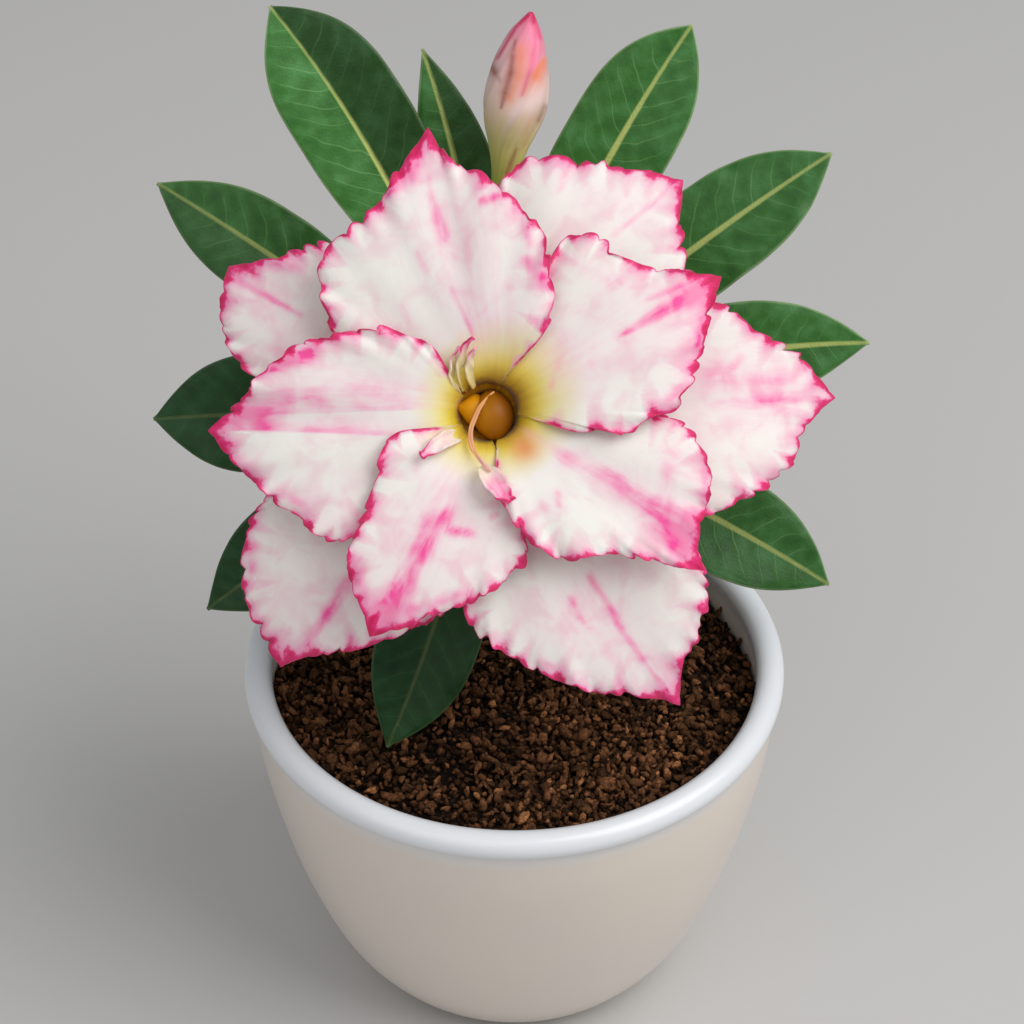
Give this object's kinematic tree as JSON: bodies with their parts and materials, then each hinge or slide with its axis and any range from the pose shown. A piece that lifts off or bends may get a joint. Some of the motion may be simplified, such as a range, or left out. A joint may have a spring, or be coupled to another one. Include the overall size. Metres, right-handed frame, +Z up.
{
  "type": "potted desert rose adenium",
  "caption": "Desert rose in a round glazed ceramic pot: swollen stem in dark crumbly soil, pointed leaves, one large double bloom with crimped petals facing forwards and a furled bud.",
  "frame": {"origin": "middle of the pot's flat base, on the surface that it stands on", "axes": "+Z up, -Y towards the front, where the bloom faces, +X to the right as seen from the front"},
  "size_m": [0.1163, 0.09, 0.1638],
  "materials": {
    "white_glaze": "satin white glaze",
    "soil": "dark brown crumbs, dull",
    "caudex_bark": "smooth grey-brown bark, dull",
    "leaf": "waxy green leaf with a pale midrib, satin",
    "calyx": "yellow-green stalk and sepals with a red flush, satin",
    "petal": "soft white petal with magenta edges and pink streaks",
    "bud_petal": "furled rose petal, silky",
    "anther": "amber anthers, satin"
  },
  "bodies": {
    "root": {"pot": "white_glaze", "soil": "soil", "caudex": "caudex_bark", "leaf_01": "leaf", "leaf_02": "leaf", "leaf_03": "leaf", "leaf_04": "leaf", "leaf_05": "leaf", "leaf_06": "leaf", "leaf_07": "leaf", "leaf_08": "leaf", "leaf_09": "leaf", "leaf_10": "leaf", "bloom_calyx": "calyx", "bud": "bud_petal", "bud_calyx": "calyx", "corolla_outer": "petal", "corolla_inner": "petal", "anthers": "anther"}
  },
  "joints": []
}
